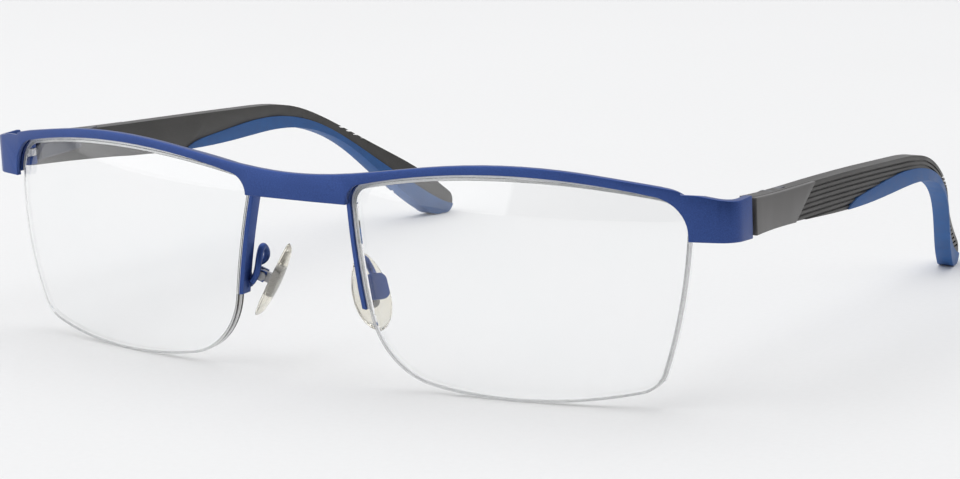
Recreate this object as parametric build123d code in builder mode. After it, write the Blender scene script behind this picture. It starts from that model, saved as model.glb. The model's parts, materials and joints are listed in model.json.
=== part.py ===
"""Half-rim eyeglasses with spring hinges, nylon-hung lenses and adjustable nose pads.

Everything is drawn in an optical frame: X to the right seen from the front, Y back along the
temples, Z up, with the bridge at the origin. Only the right half is drawn; pieces that come in
pairs are mirrored at the end, where the glasses are also stood on their lenses and temple tips.
"""
import os
from math import atan, atan2, cos, degrees, sin

from build123d import *

# ---- driving dimensions, mm ----
STANDING_TILT = 1.90        # degrees the optical frame leans when the glasses stand on a table
REACH = 90                  # longer than any piece, for cuts that go right through

# brow bar
BAR_THICK = 1.0
BAR_TOP = [(0, 14.1), (14, 15.2), (24, 16.6), (36, 17.5), (48, 17.0), (58, 15.6), (66, 14.0)]
BRIDGE_UNDERSIDE = 9.8
BEND_START = 69.2           # half width where the bar turns back into the end piece
BEND_RADIUS = 4.0
END_Y = 17.4                # rear edge of the end piece
STATIONS = [0, 12, 24, 37, 48, 60, BEND_START]
END_PIECE_LOW = 5.0         # cut line under the end piece, before its own lower edge is trimmed

# lens, seen from the front: three big arcs (centre, radius) and a straight side by the nose
TOP_ARC = ((37.3, -94.4), 110.0)
TEMPLE_ARC = ((-3.2, 9.1), 67.9)
BOTTOM_ARC = ((38.0, 68.7), 88.0)
NOSE_SIDE = ((9.8, 12.1), (14.3, -16.1))
NOSE_LEAN = atan2(14.3 - 9.8, 12.1 + 16.1)
CORNERS = [((9.8, 12.1), 2.8), ((64.6, 12.3), 5.5), ((59.6, -16.7), 5.0), ((14.3, -16.1), 13.0)]
LENS_RADIUS = 90.0          # front surface
LENS_THICK = 1.6
LENS_CENTRE = (23.6, 90.1, -1.8)

# rim wire, liner and cord, as depths behind the lens's front surface
LINER_SHOW = 0.45           # nylon seen between lens and metal
RIM_WIDTH = 0.75
RIM_FRONT, RIM_BACK = -0.4, 1.55
GROOVE_FRONT, GROOVE_BACK = 0.45, 1.15
GROOVE_DEEP = 0.5
FIT = 0.05                  # clearance of a piece in its groove or bore
SOLDER_PAD = (9.4, 1.9, 11.0)   # joins rim wire and bridge at the lens's upper inner corner
CORD_LUG = (11.55, 2.35, -4.7)  # plate behind the rim's lower end, with two holes for the cord
RIM_LOW = -5.8              # lower end of the rim wire beside the nose
RIM_TEMPLE_END = 7.4        # its other end, under the end piece

# nose pads
PAD_CENTRE = (10.05, 6.0, -5.1)
PAD_UP = (-0.393, 0.248, 0.884)
PAD_FACING = (-0.795, 0.392, -0.4635)
PAD_LONG, PAD_WIDE, PAD_THICK = 13.7, 7.4, 2.0
PIVOT_DROP = 1.35           # pad screw's axis behind the pad's back face
ARM_WIRE = 1.1

# hinge
PIN_X, PIN_Y = 68.2, 17.2
HINGE_Z = 9.2
KNUCKLE_RADIUS = 1.3
KNUCKLE_GAP = 0.08
KNUCKLE_ROOM = 0.45         # room round the knuckles in the temple's front end
HINGE_TALL = 4.2
EYE_TALL = 1.24
PIN_RADIUS = 0.55
LEAF_X = 69.7               # inner face of the front leaf's plate

# spring case in the temple
CASE_Y, CASE_LONG = 18.95, 10.0
CASE_WIDE, CASE_TALL = 2.5, 3.4
CASE_BORE = 0.85
CASE_WALL = 0.95
SHANK_RADIUS = 0.42
NUT_LONG = 0.8
TAIL_LONG = 5.0

# temple: its line in plan (y, x of the outer face) and its two edges from the side (y, z)
TEMPLE_START = 18.2
TEMPLE_PLAN = [(17.7, 71.6), (30, 70.1), (50, 68.6), (75, 67.8), (91, 66.9), (105, 63.5),
               (115, 59.4), (121, 57.4), (129, 56.2)]
TEMPLE_THICK = 2.6
TEMPLE_TOP_EDGE = [(18.2, 12.3), (44, 9.4), (77, 6.2), (88.5, 4.2), (97.5, 0.0), (108.6, -7.2),
                   (117.2, -13.2), (124.6, -19.4)]
TEMPLE_TIP = (122.0, -23.2)
TEMPLE_LOW_EDGE = [(118.2, -21.8), (110.2, -14.2), (101.5, -5.6), (94, -1.5), (84, 0.7), (74, 1.1),
                   (61.4, 1.6), (44, 3.5), (18.2, 6.45)]
GRIP_LINE = [(53, -1), (56, 2.0), (64, 3.4), (77, 3.7), (87, 2.5), (95.5, -0.6), (104.5, -6.7),
             (112.2, -13.2), (118.2, -18.0), (122.6, -20.8), (128, -22.4)]
GRIP_PROUD = 0.25           # the soft grip stands this far out of the temple on each face
PLATE_END_TOP, PLATE_END_LOW = 44.5, 33.5
PLATE_PROUD = 0.5
GROOVES = 7
GROOVE_PITCH = 0.78
GROOVE_WIDE, GROOVE_CUT = 0.34, 0.3
NOTCHES = 19                # short grooves that run out over the rear edge of the drop
NOTCH_FIRST, NOTCH_STEP = (99.2, -1.9), (1.27, -1.0)
NOTCH_LONG, NOTCH_SLOPE = 5.0, -6
NOTCH_EDGE = (-0.2, -0.22)  # how far each one bites into the rear edge


def on_sheet(x):
    """Depth of the bar's front face at half width x."""
    return 0.0017 * x**2 + 1.49 * (x / 60) ** 4


def sheet_slope(x):
    return 0.0034 * x + 4 * 1.49 * x**3 / 60**4


def sheet_point(x, depth):
    """A point in plan, depth behind the bar's front face at half width x."""
    lean = atan(sheet_slope(x))
    return (x - depth * sin(lean), on_sheet(x) + depth * cos(lean))


def lens_face(grow=0.0):
    """The lens's outline from the front, grown outwards by grow."""
    with BuildSketch(Plane.XZ) as face:
        for centre, radius in (TOP_ARC, TEMPLE_ARC, BOTTOM_ARC):
            with Locations(centre):
                Circle(radius + grow, mode=Mode.ADD if centre == TOP_ARC[0] else Mode.INTERSECT)
        with BuildLine():
            (top_x, top_z), (low_x, low_z) = NOSE_SIDE
            out = (-grow * cos(NOSE_LEAN), -grow * sin(NOSE_LEAN))
            slide = Vector(low_x - top_x, low_z - top_z)
            upper = Vector(top_x, top_z) + out - slide
            lower = Vector(low_x, low_z) + out + slide
            Polyline(upper, lower, lower + (REACH, 0), upper + (REACH, 0), close=True)
        make_face(mode=Mode.INTERSECT)
        for corner, radius in CORNERS:
            fillet(face.vertices().sort_by_distance(corner)[0], radius + grow)
    return face.sketch


def edge_band(inner, outer, front, back):
    """A band round the lens's edge between two outlines and two depths of the lens."""
    with BuildPart() as band:
        extrude(lens_face(outer), amount=REACH / 3, both=True)
        extrude(lens_face(inner), amount=REACH / 3, both=True, mode=Mode.SUBTRACT)
        with Locations(LENS_CENTRE):
            Sphere(LENS_RADIUS - front, mode=Mode.INTERSECT)
            Sphere(LENS_RADIUS - back, mode=Mode.SUBTRACT)
    return band.part


def plan_band(outward, inward):
    """The temple's band in plan, from outward of its outer face to inward of it, full height."""
    with BuildPart() as band:
        with BuildSketch(Plane.XY):
            with BuildLine():
                outer = Spline(*[(x + outward, y) for y, x in TEMPLE_PLAN])
                inner = Spline(*[(x - inward, y) for y, x in TEMPLE_PLAN])
                Line(outer @ 0, inner @ 0)
                Line(outer @ 1, inner @ 1)
            make_face()
        extrude(amount=REACH, both=True)
    return band.part


def temple_side():
    """The temple's outline from the side, tip included."""
    with BuildSketch(Plane.YZ) as side:
        with BuildLine():
            top = Spline(*TEMPLE_TOP_EDGE)
            low = Spline(*TEMPLE_LOW_EDGE)
            ThreePointArc(top @ 1, (124.9, -22.0), TEMPLE_TIP)
            ThreePointArc(TEMPLE_TIP, (119.8, -22.9), low @ 0)
            Line(low @ 1, top @ 0)
        make_face()
    return side.sketch


def grip_side():
    """The region of the side view that belongs to the soft grip."""
    with BuildSketch(Plane.YZ) as side:
        with BuildLine():
            line = Spline(*GRIP_LINE)
            Polyline(line @ 1, (130, -22.4), (130, -40), (40, -40), (40, -1), line @ 0)
        make_face()
    return side.sketch


# ---- brow bar: pressed sheet with the bridge and both end pieces ----
with BuildPart() as brow_bar:
    with BuildSketch(Plane.XZ):
        with BuildLine():
            top = Spline(*BAR_TOP, tangents=((1, 0), (1, -0.28)))
            Polyline(top @ 1, (80, 11), (80, END_PIECE_LOW), (60, END_PIECE_LOW),
                     (20, BRIDGE_UNDERSIDE), (0, BRIDGE_UNDERSIDE), top @ 0)
        make_face()
    extrude(amount=REACH / 3, both=True)
    with BuildSketch(Plane.XY):
        with BuildLine():
            ends = ((1, 0), (1, sheet_slope(BEND_START)))
            turn = 90 - degrees(atan(sheet_slope(BEND_START)))
            front = Spline(*[sheet_point(x, 0) for x in STATIONS], tangents=ends)
            front_bend = JernArc(front @ 1, front % 1, BEND_RADIUS, turn)
            front_end = Line(front_bend @ 1, front_bend @ 1 + (0, 10))
            back = Spline(*[sheet_point(x, BAR_THICK) for x in STATIONS], tangents=ends)
            back_bend = JernArc(back @ 1, back % 1, BEND_RADIUS - BAR_THICK, turn)
            back_end = Line(back_bend @ 1, back_bend @ 1 + (0, 10))
            Line(front @ 0, back @ 0)
            Line(front_end @ 1, back_end @ 1)
        make_face()
    extrude(amount=REACH, both=True, mode=Mode.INTERSECT)
    with BuildSketch(Plane.YZ):
        with BuildLine():
            Polyline((-9, 30), (9, 30), (9, 14.0), (END_Y, 12.8), (END_Y, 6.2), (9, 6.85), (9, -9),
                     (-9, -9), close=True)
        make_face()
    extrude(amount=REACH, both=True, mode=Mode.INTERSECT)
    extrude(lens_face(LINER_SHOW), amount=REACH / 3, both=True, mode=Mode.SUBTRACT)
    mirror(about=Plane.YZ)

# ---- rim wire, liner, lens and cord ----
with BuildSketch(Plane.XZ) as upper_side:
    with BuildLine():
        Polyline((0, RIM_LOW + 0.9), (17, RIM_LOW - 1.7), (17, RIM_TEMPLE_END), (80, RIM_TEMPLE_END),
                 (80, 40), (0, 40), close=True)
    make_face()

rim_band = edge_band(LINER_SHOW, LINER_SHOW + RIM_WIDTH, RIM_FRONT, RIM_BACK)
rim_groove = edge_band(0, LINER_SHOW + GROOVE_DEEP, GROOVE_FRONT, GROOVE_BACK)
with BuildPart() as rim_wire:
    extrude(upper_side.sketch, amount=REACH / 3, both=True)
    add(rim_band, mode=Mode.INTERSECT)
    add(rim_groove, mode=Mode.SUBTRACT)
    with Locations(SOLDER_PAD):
        Box(1.4, 1.6, 2.2)
    with Locations(CORD_LUG):
        Box(0.6, 1.1, 2.2)
        with Locations((0, 0.15, 0.5), (0, 0.15, -0.5)):
            Cylinder(0.27, 2, rotation=(0, 90, 0), mode=Mode.SUBTRACT)
    extrude(lens_face(LINER_SHOW), amount=REACH / 3, both=True, mode=Mode.SUBTRACT)
    add(brow_bar.part, mode=Mode.SUBTRACT)

with BuildPart() as whole_rim:
    add(rim_wire.solids().sort_by(SortBy.VOLUME)[-1])

liner_show = edge_band(FIT, LINER_SHOW, 0.1, LENS_THICK - 0.1)
liner_tongue = edge_band(FIT - GROOVE_DEEP, LINER_SHOW + GROOVE_DEEP - FIT,
                         GROOVE_FRONT + FIT, GROOVE_BACK - FIT)
with BuildPart() as rim_liner:
    add(liner_show)
    add(liner_tongue)
    extrude(upper_side.sketch, amount=REACH / 3, both=True, mode=Mode.INTERSECT)
    add(rim_wire.part, mode=Mode.SUBTRACT)
    add(brow_bar.part, mode=Mode.SUBTRACT)

lens_groove = edge_band(-GROOVE_DEEP, 1, GROOVE_FRONT, GROOVE_BACK)
with BuildPart() as lens:
    extrude(lens_face(), amount=REACH / 3, both=True)
    with Locations(LENS_CENTRE):
        Sphere(LENS_RADIUS, mode=Mode.INTERSECT)
        Sphere(LENS_RADIUS - LENS_THICK, mode=Mode.SUBTRACT)
    add(lens_groove, mode=Mode.SUBTRACT)

cord_band = edge_band(FIT - GROOVE_DEEP, -FIT / 2, GROOVE_FRONT + FIT, GROOVE_BACK - FIT)
with BuildPart() as nylon_cord:
    add(cord_band)
    extrude(upper_side.sketch, amount=REACH / 3, both=True, mode=Mode.SUBTRACT)

# ---- nose pad and its arm ----
pad_plane = Plane(PAD_CENTRE, x_dir=Vector(*PAD_UP).cross(Vector(*PAD_FACING)), z_dir=PAD_FACING)

with BuildPart() as pad_insert:
    with BuildSketch(pad_plane.offset(0.35)):
        RectangleRounded(2.8, 5.2, 1.0)
    extrude(amount=0.6)
    with BuildSketch(pad_plane.offset(-PIVOT_DROP)):
        Rectangle(1.0, 1.6)
    extrude(amount=PIVOT_DROP + 0.4)
    with Locations(pad_plane.offset(-PIVOT_DROP)):
        Cylinder(0.8, 1.0, rotation=(0, 90, 0))
        Cylinder(0.45, 4, rotation=(0, 90, 0), mode=Mode.SUBTRACT)

with BuildPart() as nose_pad:
    with BuildSketch(pad_plane):
        Ellipse(PAD_WIDE / 2, PAD_LONG / 2)
    extrude(amount=PAD_THICK)
    fillet(nose_pad.edges(), 0.75)
    add(pad_insert.part, mode=Mode.SUBTRACT)

with BuildPart() as pad_box:
    with BuildSketch(pad_plane.offset(-PIVOT_DROP - 1.4)):
        RectangleRounded(3.8, 4.2, 1.2)
    extrude(amount=0.5)
    with BuildSketch(pad_plane.offset(-PIVOT_DROP - 0.9)):
        with Locations((-0.9, 0), (0.9, 0)):
            Rectangle(0.6, 1.8)
    extrude(amount=1.55)
    with Locations(pad_plane.offset(-PIVOT_DROP)):
        Cylinder(0.42, 4, rotation=(0, 90, 0), mode=Mode.SUBTRACT)

with BuildPart() as pad_screw:
    with Locations(pad_plane.offset(-PIVOT_DROP)):
        Cylinder(0.4, 2.5, rotation=(0, 90, 0))
    with Locations(pad_plane.offset(-PIVOT_DROP).shift_origin(pad_plane.offset(-PIVOT_DROP)
                                                              .from_local_coords((1.45, 0)))):
        Cylinder(0.7, 0.4, rotation=(0, 90, 0))

ARM_ROUTE = [(10.9, 2.0, -5.0), (10.1, 2.7, -3.2), (9.9, 3.25, -1.0), (10.0, 4.5, 0.5),
             (10.2, 5.7, -0.7), (11.35, 5.45, -2.4)]
with BuildPart() as pad_arm:
    with BuildLine():
        route = Spline(*ARM_ROUTE)
    with BuildSketch(Plane(route @ 0, z_dir=route % 0)):
        Circle(ARM_WIRE / 2)
    sweep()
    add(rim_wire.part, mode=Mode.SUBTRACT)
    add(rim_liner.part, mode=Mode.SUBTRACT)
    add(lens.part, mode=Mode.SUBTRACT)
    add(pad_box.part, mode=Mode.SUBTRACT)
with BuildPart() as soldered_arm:
    add(pad_arm.solids().sort_by(SortBy.VOLUME)[-1])

# ---- hinge ----
with BuildPart() as hinge_front:
    with BuildSketch(Plane.XY.offset(HINGE_Z - HINGE_TALL / 2)):
        with Locations((LEAF_X, PIN_Y - KNUCKLE_RADIUS - 1.3)):
            Rectangle(0.85, KNUCKLE_RADIUS + 1.3, align=(Align.MIN, Align.MIN))
        with Locations((PIN_X, PIN_Y - KNUCKLE_RADIUS)):
            Rectangle(LEAF_X - PIN_X + 0.2, KNUCKLE_RADIUS, align=(Align.MIN, Align.MIN))
        with Locations((PIN_X, PIN_Y)):
            Circle(KNUCKLE_RADIUS)
    extrude(amount=HINGE_TALL)
    with BuildSketch(Plane.XY.offset(HINGE_Z - EYE_TALL / 2 - KNUCKLE_GAP)):
        with Locations((LEAF_X, PIN_Y)):
            Rectangle(6, 6, align=(Align.MAX, Align.CENTER))
    extrude(amount=EYE_TALL + 2 * KNUCKLE_GAP, mode=Mode.SUBTRACT)
    with Locations((PIN_X, PIN_Y, HINGE_Z + HINGE_TALL / 2)):
        CounterBoreHole(PIN_RADIUS + FIT, 0.95 + FIT, 0.6, depth=HINGE_TALL)
    add(brow_bar.part, mode=Mode.SUBTRACT)

with BuildPart() as hinge_screw:
    with Locations((PIN_X, PIN_Y, HINGE_Z)):
        Cylinder(PIN_RADIUS, HINGE_TALL - 0.1)
    with BuildSketch(Plane.XY.offset(HINGE_Z + HINGE_TALL / 2 - 0.55)):
        with Locations((PIN_X, PIN_Y)):
            Circle(0.95)
    extrude(amount=0.55)
    with BuildSketch(Plane.XY.offset(HINGE_Z + HINGE_TALL / 2)):
        with Locations((PIN_X, PIN_Y)):
            Rectangle(2, 0.3)
    extrude(amount=-0.3, mode=Mode.SUBTRACT)

shank_end = CASE_Y + CASE_LONG - CASE_WALL - 0.3
with BuildPart() as hinge_tongue:
    with BuildSketch(Plane.XY.offset(HINGE_Z - EYE_TALL / 2)):
        with Locations((PIN_X, PIN_Y)):
            Circle(KNUCKLE_RADIUS)
            Rectangle(1.2, CASE_Y - 0.2 - PIN_Y, align=(Align.CENTER, Align.MIN))
    extrude(amount=EYE_TALL)
    with BuildSketch(Plane.XZ.offset(-PIN_Y - 1.2)):
        with Locations((PIN_X, HINGE_Z)):
            Circle(SHANK_RADIUS)
    extrude(amount=-(shank_end - PIN_Y - 1.2))
    with Locations((PIN_X, PIN_Y, HINGE_Z)):
        Cylinder(PIN_RADIUS + FIT, 4, mode=Mode.SUBTRACT)

with BuildPart() as spring_nut:
    with BuildSketch(Plane.XZ.offset(-(shank_end - NUT_LONG))):
        with Locations((PIN_X, HINGE_Z)):
            Circle(CASE_BORE - FIT)
            Circle(SHANK_RADIUS, mode=Mode.SUBTRACT)
    extrude(amount=-NUT_LONG)

spring_start = CASE_Y + CASE_WALL + 0.05
spring_long = shank_end - NUT_LONG - 0.05 - spring_start
SPRING_WIRE = 0.12
with BuildPart() as flex_spring:
    with BuildLine():
        coil = Helix((spring_long - 2 * SPRING_WIRE) / 9, spring_long - 2 * SPRING_WIRE, 0.63,
                     center=(PIN_X, spring_start + SPRING_WIRE, HINGE_Z), direction=(0, 1, 0))
    with BuildSketch(Plane(coil @ 0, z_dir=coil % 0)):
        Circle(SPRING_WIRE)
    sweep()

with BuildPart() as spring_case:
    with BuildSketch(Plane.XZ.offset(-CASE_Y)):
        with Locations((PIN_X, HINGE_Z)):
            RectangleRounded(CASE_WIDE, CASE_TALL, 0.5)
    extrude(amount=-CASE_LONG)
    with BuildSketch(Plane.XZ.offset(-CASE_Y - CASE_LONG)):
        with Locations((PIN_X - 0.1, HINGE_Z)):
            Rectangle(1.0, CASE_TALL - 0.8)
    extrude(amount=-TAIL_LONG)
    with BuildSketch(Plane.XZ.offset(-CASE_Y - CASE_WALL)):
        with Locations((PIN_X, HINGE_Z)):
            Circle(CASE_BORE)
    extrude(amount=-(CASE_LONG - 2 * CASE_WALL), mode=Mode.SUBTRACT)
    with BuildSketch(Plane.XZ.offset(-CASE_Y)):
        with Locations((PIN_X, HINGE_Z)):
            Circle(SHANK_RADIUS + FIT)
    extrude(amount=-CASE_WALL, mode=Mode.SUBTRACT)

rivet_line = CASE_Y + CASE_LONG
with BuildPart() as case_rivets:
    with BuildSketch(Plane.YZ.offset(PIN_X - 0.6)):
        with Locations((rivet_line + 1.4, HINGE_Z), (rivet_line + 3.6, HINGE_Z)):
            Circle(0.4)
    extrude(amount=1.6)
    with BuildSketch(Plane.YZ.offset(PIN_X - 0.6)):
        with Locations((rivet_line + 1.4, HINGE_Z), (rivet_line + 3.6, HINGE_Z)):
            Circle(0.65)
    extrude(amount=-0.3)

# ---- temple ----
outline = temple_side()
grip_region = grip_side()
core_band = plan_band(0, TEMPLE_THICK)
grip_band = plan_band(GRIP_PROUD, TEMPLE_THICK + GRIP_PROUD)
groove_band = plan_band(0.5, GROOVE_CUT)
plate_band = plan_band(PLATE_PROUD, 0.5)


def plate_region():
    """The front plate's outline from the side, with its slanted rear end."""
    with BuildSketch(Plane.YZ) as side:
        with BuildLine():
            Polyline((TEMPLE_START, 30), (TEMPLE_START, 0), (PLATE_END_LOW - 7, 0),
                     (PLATE_END_TOP + 7, 14.4), (PLATE_END_TOP + 7, 30), close=True)
        make_face()
    return side.sketch


def groove_side(drop):
    """One groove's line from the side: the temple's top edge lowered by drop."""
    stations = TEMPLE_TOP_EDGE[:-1]
    with BuildSketch(Plane.YZ) as side:
        with BuildLine():
            upper = Spline(*[(y - 0.55 * drop * (y > 90), z - drop * (1 - 0.35 * (y > 90)))
                             for y, z in stations])
            lower = Spline(*[upper @ (n / 12) - (0, GROOVE_WIDE) for n in range(13)])
            Line(upper @ 0, lower @ 0)
            Line(upper @ 1, lower @ 1)
        make_face()
    return side.sketch


def notch_side():
    """Short grooves that run out over the rear edge of the drop, seen from the side."""
    with BuildSketch(Plane.YZ) as side:
        with Locations(*[(NOTCH_FIRST[0] + n * NOTCH_STEP[0], NOTCH_FIRST[1] + n * NOTCH_STEP[1])
                         for n in range(NOTCHES)]):
            Rectangle(NOTCH_LONG, GROOVE_WIDE, rotation=NOTCH_SLOPE)
    return side.sketch


with BuildPart() as temple_plate:
    extrude(plate_region(), amount=REACH)
    extrude(outline, amount=REACH, mode=Mode.INTERSECT)
    add(plate_band, mode=Mode.INTERSECT)
    with Locations((PIN_X, PIN_Y, HINGE_Z)):
        Cylinder(KNUCKLE_RADIUS + KNUCKLE_ROOM, REACH, mode=Mode.SUBTRACT)

with BuildPart() as temple:
    extrude(outline, amount=REACH)
    add(core_band, mode=Mode.INTERSECT)
    extrude(grip_region, amount=REACH, mode=Mode.SUBTRACT)
    for row in range(GROOVES):
        cut = extrude(groove_side(0.7 + row * GROOVE_PITCH), amount=REACH, mode=Mode.PRIVATE)
        add(cut & groove_band, mode=Mode.SUBTRACT)
    notches = extrude(notch_side(), amount=REACH, mode=Mode.PRIVATE)
    inside_edge = extrude(outline.moved(Location((0, *NOTCH_EDGE))), amount=REACH, mode=Mode.PRIVATE)
    add(notches & groove_band, mode=Mode.SUBTRACT)
    add(notches - inside_edge, mode=Mode.SUBTRACT)
    with Locations((PIN_X, PIN_Y, HINGE_Z)):
        Cylinder(KNUCKLE_RADIUS + KNUCKLE_ROOM, REACH, mode=Mode.SUBTRACT)
    add(temple_plate.part, mode=Mode.SUBTRACT)
    with BuildSketch(Plane.XZ.offset(-CASE_Y)):
        with Locations((PIN_X, HINGE_Z)):
            RectangleRounded(CASE_WIDE, CASE_TALL, 0.5)
    extrude(amount=-CASE_LONG, mode=Mode.SUBTRACT)
    with BuildSketch(Plane.XZ.offset(-CASE_Y - CASE_LONG)):
        with Locations((PIN_X - 0.1, HINGE_Z)):
            Rectangle(1.0, CASE_TALL - 0.8)
    extrude(amount=-TAIL_LONG, mode=Mode.SUBTRACT)
    add(case_rivets.part, mode=Mode.SUBTRACT)

with BuildPart() as temple_grip:
    extrude(outline, amount=REACH)
    extrude(grip_region, amount=REACH, mode=Mode.INTERSECT)
    add(grip_band, mode=Mode.INTERSECT)

# the tail's rivets go through the tail
with BuildPart() as case_bored:
    add(spring_case.part)
    add(case_rivets.part, mode=Mode.SUBTRACT)

# ---- stand the glasses on a table and write the pieces ----
pairs = {
    "rim_wire": whole_rim, "rim_liner": rim_liner, "lens": lens, "nylon_cord": nylon_cord,
    "pad_arm": soldered_arm, "pad_box": pad_box, "pad_screw": pad_screw, "nose_pad": nose_pad,
    "pad_insert": pad_insert, "hinge_front": hinge_front, "hinge_screw": hinge_screw,
    "hinge_tongue": hinge_tongue, "spring_nut": spring_nut, "flex_spring": flex_spring,
    "spring_case": case_bored, "case_rivets": case_rivets, "temple": temple,
    "temple_plate": temple_plate, "temple_grip": temple_grip,
}
pieces = {"brow_bar": brow_bar.part}
for name, piece in pairs.items():
    pieces[f"{name}_right"] = piece.part
    pieces[f"{name}_left"] = piece.part.mirror(Plane.YZ)

leaning = Location((0, 0, 0), (STANDING_TILT, 0, 0))
outermost = [pieces[name].moved(leaning) for name in ("brow_bar", "lens_right", "temple_grip_right")]
box = Compound(outermost).bounding_box()
standing = Location((0, -(box.min.Y + box.max.Y) / 2, -box.min.Z)) * leaning
os.makedirs("parts", exist_ok=True)
for name, solid in pieces.items():
    placed = solid.moved(standing)
    placed.label = name
    export_step(placed, f"parts/{name}.step")
print("standing offset", standing.position, "tilt", STANDING_TILT)
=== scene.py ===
"""Half-rim eyeglasses: blue lacquered brow bar, nylon-hung lenses, spring hinges, two-part temples.

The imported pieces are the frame. Each section finishes one piece or one pair of like pieces, in the
order in which a pair of glasses is put together. All lengths are in metres.
"""
import json
import math

import bmesh
import bpy
from mathutils import Matrix, Vector

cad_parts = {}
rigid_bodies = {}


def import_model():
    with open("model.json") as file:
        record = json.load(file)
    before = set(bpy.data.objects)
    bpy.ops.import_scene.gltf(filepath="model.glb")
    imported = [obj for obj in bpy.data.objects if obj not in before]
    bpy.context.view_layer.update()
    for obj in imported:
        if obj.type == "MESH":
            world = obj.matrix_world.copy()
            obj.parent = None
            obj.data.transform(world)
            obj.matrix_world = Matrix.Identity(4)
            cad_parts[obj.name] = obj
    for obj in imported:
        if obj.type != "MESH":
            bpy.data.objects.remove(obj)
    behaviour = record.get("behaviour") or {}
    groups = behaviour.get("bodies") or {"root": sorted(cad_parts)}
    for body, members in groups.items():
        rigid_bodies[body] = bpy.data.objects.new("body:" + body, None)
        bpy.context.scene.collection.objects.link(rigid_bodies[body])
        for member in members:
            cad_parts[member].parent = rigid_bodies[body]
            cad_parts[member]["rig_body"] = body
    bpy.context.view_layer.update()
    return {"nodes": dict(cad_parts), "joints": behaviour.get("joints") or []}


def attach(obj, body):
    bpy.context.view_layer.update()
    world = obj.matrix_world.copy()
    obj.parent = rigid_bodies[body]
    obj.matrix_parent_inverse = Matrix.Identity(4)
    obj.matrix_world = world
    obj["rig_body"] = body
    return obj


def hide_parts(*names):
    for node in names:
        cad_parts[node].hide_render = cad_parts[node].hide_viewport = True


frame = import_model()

# ---- Brow bar ----
# One strip of sheet metal, pressed and bent back at both ends, then sprayed with a satin blue
# metallic lacquer. Its edges are tumbled round before spraying, so they catch the light.
MM = 0.001
BAR_EDGE_ROUND = 0.16 * MM
SEAM_REACH = 0.002 * MM
FLAT_ENOUGH = math.radians(0.6)
SHARP_EDGE = math.radians(35)
BEVEL_STEPS = 3
GRAIN_LOW, GRAIN_HIGH = 0.36, 0.64


def add_node(tree, kind, settings=None, **inputs):
    """A shader node with its settings and the values or links of its inputs."""
    made = tree.nodes.new(kind)
    for name, value in (settings or {}).items():
        setattr(made, name, value)
    for name, value in inputs.items():
        socket = made.inputs[int(name[1:]) if name[1:].isdigit() else name.replace("_", " ")]
        if isinstance(value, bpy.types.NodeSocket):
            tree.links.new(value, socket)
        else:
            socket.default_value = value
    return made


def effect_group(name, inputs, outputs):
    """An empty node group with named float inputs and outputs; returns it and its two ends."""
    group = bpy.data.node_groups.new(name, "ShaderNodeTree")
    for label, value in inputs.items():
        socket = group.interface.new_socket(label, in_out="INPUT", socket_type="NodeSocketFloat")
        socket.default_value = value
    for label, kind in outputs.items():
        group.interface.new_socket(label, in_out="OUTPUT", socket_type=kind)
    return group, group.nodes.new("NodeGroupInput"), group.nodes.new("NodeGroupOutput")


# fine speckle and slow cloudiness of a sprayed or moulded surface
finish_grain, grain_in, grain_out = effect_group(
    "finish grain", {"Speckles per metre": 5000, "Clouds per metre": 90},
    {"Speckle": "NodeSocketFloat", "Cloud": "NodeSocketFloat"})
place = add_node(finish_grain, "ShaderNodeTexCoord").outputs["Object"]
speckle = add_node(finish_grain, "ShaderNodeTexNoise", Vector=place, Detail=2, Roughness=0.6,
                   Scale=grain_in.outputs["Speckles per metre"])
cloud = add_node(finish_grain, "ShaderNodeTexNoise", Vector=place, Detail=3, Roughness=0.55,
                 Scale=grain_in.outputs["Clouds per metre"])
finish_grain.links.new(speckle.outputs["Fac"], grain_out.inputs["Speckle"])
finish_grain.links.new(cloud.outputs["Fac"], grain_out.inputs["Cloud"])


def finish_material(name, dark, light, rough=(0.3, 0.45), speckles=5000, clouds=90, bump=0.0,
                    cloud_share=0.5, **plain):
    """A surface whose colour and roughness wander between two values with its grain."""
    material = bpy.data.materials.new(name)
    material.use_nodes = True
    tree = material.node_tree
    shader = tree.nodes["Principled BSDF"]
    grain = add_node(tree, "ShaderNodeGroup", {"node_tree": finish_grain})
    grain.inputs["Speckles per metre"].default_value = speckles
    grain.inputs["Clouds per metre"].default_value = clouds
    blend = add_node(tree, "ShaderNodeMix", {"data_type": "FLOAT"}, Factor=cloud_share,
                     _2=grain.outputs["Speckle"], _3=grain.outputs["Cloud"])
    spread = add_node(tree, "ShaderNodeMapRange", _0=blend.outputs[0], _1=GRAIN_LOW, _2=GRAIN_HIGH)
    colour = add_node(tree, "ShaderNodeMix", {"data_type": "RGBA"}, Factor=spread.outputs[0])
    colour.inputs[6].default_value = (*dark, 1)
    colour.inputs[7].default_value = (*light, 1)
    tree.links.new(colour.outputs[2], shader.inputs["Base Color"])
    gloss = add_node(tree, "ShaderNodeMapRange", _0=spread.outputs[0], _3=rough[0], _4=rough[1])
    tree.links.new(gloss.outputs[0], shader.inputs["Roughness"])
    if bump:
        relief = add_node(tree, "ShaderNodeBump", Height=grain.outputs["Speckle"], Strength=1.0,
                          Distance=bump)
        tree.links.new(relief.outputs[0], shader.inputs["Normal"])
    for socket, value in plain.items():
        shader.inputs[socket.replace("_", " ")].default_value = value
    return material


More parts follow.
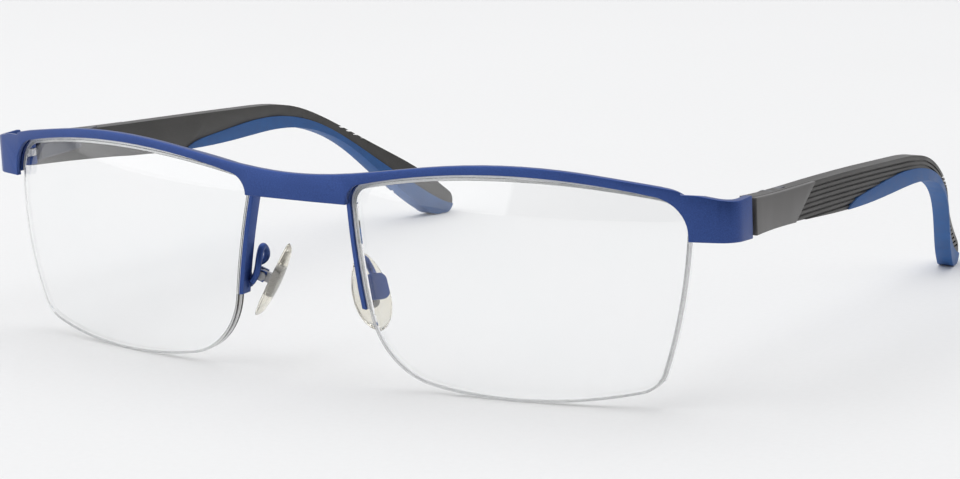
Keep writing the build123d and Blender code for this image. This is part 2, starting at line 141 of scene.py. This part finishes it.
def softened(name, material, round_off):
    """A detailed piece in a CAD node's place: the same form with its edges rounded."""
    source = frame["nodes"][name]
    shape = bmesh.new()
    shape.from_mesh(source.data)
    bmesh.ops.remove_doubles(shape, verts=shape.verts, dist=SEAM_REACH)
    bmesh.ops.dissolve_limit(shape, angle_limit=FLAT_ENOUGH, verts=shape.verts, edges=shape.edges)
    mesh = bpy.data.meshes.new(name + "_finished")
    shape.to_mesh(mesh)
    shape.free()
    piece = bpy.data.objects.new(name + "_finished", mesh)
    bpy.context.scene.collection.objects.link(piece)
    for face in mesh.polygons:
        face.use_smooth = True
    mesh.materials.append(material)
    bevel = piece.modifiers.new("rounded edges", "BEVEL")
    bevel.width = round_off
    bevel.segments = BEVEL_STEPS
    bevel.limit_method = "ANGLE"
    bevel.angle_limit = SHARP_EDGE
    bevel.harden_normals = True
    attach(piece, source["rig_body"])
    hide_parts(name)


lacquer = finish_material("blue metallic lacquer", (0.020, 0.052, 0.205), (0.032, 0.080, 0.290),
                          rough=(0.36, 0.46), speckles=6000, clouds=60, bump=0.003 * MM,
                          cloud_share=0.35, Metallic=0.75, Coat_Weight=0.25, Coat_Roughness=0.35)
softened("brow_bar", lacquer, BAR_EDGE_ROUND)

# ---- Rim wires ----
# Grooved metal wire, bent to the top and the nose side of each lens. It is soldered behind the
# bar before spraying, so it has the same lacquer.
SIDES = ("left", "right")
RIM_EDGE_ROUND = 0.1 * MM
for side in SIDES:
    softened(f"rim_wire_{side}", lacquer, RIM_EDGE_ROUND)

# ---- Liners and cords ----
# Clear nylon: a profile pressed into the rim's groove above, and a tight strand below that holds
# the lens up. Both look milky where they are seen edge on.


def dress(nodes, material):
    """Gives a finished material to CAD nodes whose shape is already right."""
    for name in nodes:
        mesh = frame["nodes"][name].data
        mesh.materials.clear()
        mesh.materials.append(material)


def pair(*names):
    """The left and the right node of each kind of piece."""
    return [f"{name}_{side}" for name in names for side in SIDES]


nylon = finish_material("clear nylon", (0.84, 0.85, 0.85), (0.90, 0.90, 0.89), rough=(0.22, 0.32),
                        speckles=3000, clouds=200, IOR=1.53)
strand = finish_material("drawn nylon", (0.86, 0.86, 0.86), (0.92, 0.92, 0.92), rough=(0.12, 0.2),
                         speckles=3000, clouds=200, Transmission_Weight=0.6, IOR=1.53)
dress(pair("rim_liner"), nylon)
dress(pair("nylon_cord"), strand)

# ---- Lenses ----
# Clear polished plastic, a curved shell of even thickness with a groove cut round its edge.
# Light goes through it nearly unchanged, so its shadow on the table is faint.
lens_clear = finish_material("clear lens", (0.97, 0.98, 0.98), (0.99, 0.99, 0.99), rough=(0.0, 0.01),
                             Transmission_Weight=1.0, IOR=1.5)
tree = lens_clear.node_tree
clear = add_node(tree, "ShaderNodeBsdfTransparent", Color=(0.93, 0.93, 0.93, 1))
light = add_node(tree, "ShaderNodeLightPath")
both = add_node(tree, "ShaderNodeMixShader", _0=light.outputs["Is Shadow Ray"],
                _1=tree.nodes["Principled BSDF"].outputs[0], _2=clear.outputs[0])
tree.links.new(both.outputs[0], tree.nodes["Material Output"].inputs["Surface"])
dress(pair("lens"), lens_clear)

# ---- Nose pads ----
# Soft clear silicone moulded round a metal insert, yellowed a little with age. A small screw
# holds each insert in a box at the end of a bent arm, which is soldered to the rim wire.
PAD_HALF_LONG, PAD_HALF_WIDE = 6.8 * MM, 3.65 * MM
PAD_EDGE, PAD_DOME, PAD_SINK = 0.95 * MM, 0.95 * MM, 0.25 * MM
PAD_PIVOT_DROP = 1.35 * MM
PAD_UP, PAD_FACING = Vector((-0.393, 0.2186, 0.8917)), Vector((-0.795, 0.4072, -0.4502))
PAD_SPOKES, PAD_RINGS = 48, 9
# the rim of the pad rolls over in the last part of its width, and one end is narrower
ROLL_START, ROLL_IN, ROLL_DROP, ROLL_LIFT = 0.8, 0.035, 0.45, 0.32
TAPER, END_PINCH, DOME_FULLNESS = 0.16, 0.06, 0.8
BOX_EDGE_ROUND = 0.08 * MM
silicone = finish_material("clear silicone", (0.95, 0.91, 0.79), (0.99, 0.97, 0.90),
                           rough=(0.08, 0.14), speckles=900, clouds=250,
                           Transmission_Weight=0.85, IOR=1.25)
worn_steel = finish_material("dull steel", (0.20, 0.20, 0.21), (0.42, 0.42, 0.43), rough=(0.25, 0.4),
                             speckles=9000, clouds=700, Metallic=1.0)
steel = finish_material("bright steel", (0.50, 0.50, 0.51), (0.68, 0.68, 0.69), rough=(0.18, 0.32),
                        speckles=9000, clouds=400, Metallic=1.0)


def pad_mesh(side, flip):
    """An egg-shaped pad: hollowed a little behind, domed in front, with a rolled edge."""
    up = Vector((PAD_UP.x * flip, PAD_UP.y, PAD_UP.z)).normalized()
    facing = Vector((PAD_FACING.x * flip, PAD_FACING.y, PAD_FACING.z)).normalized()
    across = up.cross(facing)
    pivot = next(Vector(j["pos_m"]) for j in frame["joints"] if j["name"] == f"pad_rock_{side}")
    centre = pivot + facing * PAD_PIVOT_DROP
    shape = bmesh.new()
    rings = []
    for face in (0, 1):
        for n in range(1, PAD_RINGS + 1):
            share = n / PAD_RINGS
            roll = max(0.0, share - ROLL_START) / (1 - ROLL_START)
            reach = share - ROLL_IN * roll ** 2
            if face:
                height = (PAD_EDGE * (1 - ROLL_DROP * roll ** 2)
                          + PAD_DOME * (1 - share ** 2) ** DOME_FULLNESS)
            else:
                height = PAD_SINK * (1 - share ** 2) + PAD_EDGE * ROLL_LIFT * roll ** 2
            ring = []
            for spoke in range(PAD_SPOKES):
                turn = 2 * math.pi * spoke / PAD_SPOKES
                along = math.cos(turn)
                wide = math.sin(turn) * (1 - TAPER * along - END_PINCH * along ** 2)
                ring.append(shape.verts.new(centre + up * (PAD_HALF_LONG * reach * along)
                                            + across * (PAD_HALF_WIDE * reach * wide)
                                            + facing * height))
            rings.append(ring)
    order = rings[:PAD_RINGS] + rings[PAD_RINGS:][::-1]
    for near, far in zip(order, order[1:]):
        for spoke in range(PAD_SPOKES):
            after = (spoke + 1) % PAD_SPOKES
            shape.faces.new((near[spoke], near[after], far[after], far[spoke]))
    for ring, depth in ((order[0], PAD_SINK), (order[-1], PAD_EDGE + PAD_DOME)):
        middle = shape.verts.new(centre + facing * depth)
        for spoke in range(PAD_SPOKES):
            shape.faces.new((middle, ring[spoke], ring[(spoke + 1) % PAD_SPOKES]))
    bmesh.ops.recalc_face_normals(shape, faces=shape.faces)
    mesh = bpy.data.meshes.new(f"pad_{side}")
    shape.to_mesh(mesh)
    shape.free()
    for face in mesh.polygons:
        face.use_smooth = True
    mesh.materials.append(silicone)
    return mesh


for side, flip in (("left", -1), ("right", 1)):
    pad = bpy.data.objects.new(f"silicone_pad_{side}", pad_mesh(side, flip))
    bpy.context.scene.collection.objects.link(pad)
    pad.modifiers.new("smooth", "SUBSURF").render_levels = 1
    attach(pad, f"pad_{side}")
    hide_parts(f"nose_pad_{side}")
dress(pair("pad_insert", "pad_screw"), worn_steel)
dress(pair("pad_arm"), lacquer)
for name in pair("pad_box"):
    softened(name, lacquer, BOX_EDGE_ROUND)

# ---- Spring hinges ----
# A lacquered leaf behind the end piece takes the screw, and a steel tongue turns on it. The
# tongue's shank runs through a coil spring in a steel case that is riveted in the temple.
LEAF_EDGE_ROUND, CASE_EDGE_ROUND = 0.08 * MM, 0.15 * MM
dress(pair("hinge_screw", "hinge_tongue", "spring_nut", "flex_spring", "case_rivets"), steel)
for name in pair("hinge_front"):
    softened(name, lacquer, LEAF_EDGE_ROUND)
gunmetal = finish_material("blued steel", (0.060, 0.065, 0.085), (0.10, 0.105, 0.13),
                           rough=(0.28, 0.40), speckles=8000, clouds=300, Metallic=0.9)
for name in pair("spring_case"):
    softened(name, gunmetal, CASE_EDGE_ROUND)

# ---- Temples ----
# Dark grey moulded plastic with a smooth cover plate in front and a fan of grooves behind it.
# The soft blue grip is moulded on below and round the tip.
TEMPLE_EDGE_ROUND, COVER_EDGE_ROUND, GRIP_EDGE_ROUND = 0.08 * MM, 0.2 * MM, 0.5 * MM
moulding = finish_material("dark grey moulding", (0.040, 0.038, 0.035), (0.062, 0.059, 0.055),
                           rough=(0.40, 0.55), speckles=6000, clouds=150, bump=0.003 * MM)
cover = finish_material("smooth grey cover", (0.075, 0.071, 0.067), (0.098, 0.094, 0.09),
                        rough=(0.36, 0.48), speckles=8000, clouds=120, bump=0.002 * MM)
rubber = finish_material("soft blue rubber", (0.012, 0.075, 0.24), (0.022, 0.11, 0.33),
                         rough=(0.45, 0.65), speckles=5000, clouds=250, bump=0.006 * MM)
for name in pair("temple"):
    softened(name, moulding, TEMPLE_EDGE_ROUND)
for name in pair("temple_plate"):
    softened(name, cover, COVER_EDGE_ROUND)
for name in pair("temple_grip"):
    softened(name, rubber, GRIP_EDGE_ROUND)

# ---- Table, light and camera ----
# White paper laid flat, large soft lights overhead and in front to the left, and a weak one from
# the right. The room round it is white, and dim on the side that the glasses face.
FLOOR_HALF = 4.0
ROOM_BRIGHT, ROOM_DARK = 0.80, 0.08
DARK_SIDE, DIMMING_START, DIMMING_END = (0.77, -0.64, 0.0), 0.1, 0.9
LAMP_AIM = (0, -0.02, 0.02)
floor_mesh = bpy.data.meshes.new("paper")
corners = [(x * FLOOR_HALF, y * FLOOR_HALF, 0) for x, y in ((-1, -1), (1, -1), (1, 1), (-1, 1))]
floor_mesh.from_pydata(corners, [], [(0, 1, 2, 3)])
floor = bpy.data.objects.new("paper", floor_mesh)
bpy.context.scene.collection.objects.link(floor)
floor_mesh.materials.append(finish_material("white paper", (0.80, 0.80, 0.795), (0.82, 0.82, 0.815),
                                            rough=(0.8, 0.9), speckles=900, clouds=4))

world = bpy.data.worlds.new("studio")
bpy.context.scene.world = world
world.use_nodes = True
room = world.node_tree
toward = add_node(room, "ShaderNodeTexCoord").outputs["Generated"]
facing = add_node(room, "ShaderNodeVectorMath", {"operation": "DOT_PRODUCT"}, _0=toward, _1=DARK_SIDE)
dimmed = add_node(room, "ShaderNodeMapRange", {"interpolation_type": "SMOOTHSTEP"},
                  _0=facing.outputs["Value"], _1=DIMMING_START, _2=DIMMING_END,
                  _3=ROOM_BRIGHT, _4=ROOM_DARK)
room.nodes["Background"].inputs["Color"].default_value = (0.97, 0.975, 1.0, 1)
room.links.new(dimmed.outputs[0], room.nodes["Background"].inputs["Strength"])


def soft_light(name, size, power, spot):
    """A square soft light at spot, facing the glasses."""
    lamp = bpy.data.lights.new(name, "AREA")
    lamp.size, lamp.energy = size, power
    holder = bpy.data.objects.new(name, lamp)
    holder.location = spot
    holder.rotation_euler = (Vector(LAMP_AIM) - Vector(spot)).to_track_quat("-Z", "Y").to_euler()
    bpy.context.scene.collection.objects.link(holder)


soft_light("overhead", 1.8, 9.5, (-0.1, 0.2, 1.3))
soft_light("left", 2.0, 11.0, (-0.95, -1.10, 0.75))
soft_light("right", 0.5, 0.6, (1.0, 0.3, 0.5))

CAMERA_SPOT = Vector((0.28172, -0.44392, 0.11996))
CAMERA_AIM = Vector((0.01498, -0.03261, 0.02024))
CAMERA_ROLL = -1.562
FOCAL_LENGTH, SENSOR_WIDTH, UPWARD_SHIFT = 115.38, 36, -0.01153
optics = bpy.data.cameras.new("camera")
optics.lens = FOCAL_LENGTH
optics.sensor_width = SENSOR_WIDTH
optics.shift_y = UPWARD_SHIFT
optics.clip_start, optics.clip_end = 0.01, 20
camera = bpy.data.objects.new("camera", optics)
bpy.context.scene.collection.objects.link(camera)
turn = (CAMERA_AIM - CAMERA_SPOT).to_track_quat("-Z", "Y").to_matrix().to_4x4()
camera.matrix_world = (Matrix.Translation(CAMERA_SPOT) @ turn
                       @ Matrix.Rotation(math.radians(CAMERA_ROLL), 4, "Z"))
bpy.context.scene.camera = camera
bpy.context.scene.view_settings.view_transform = "Standard"
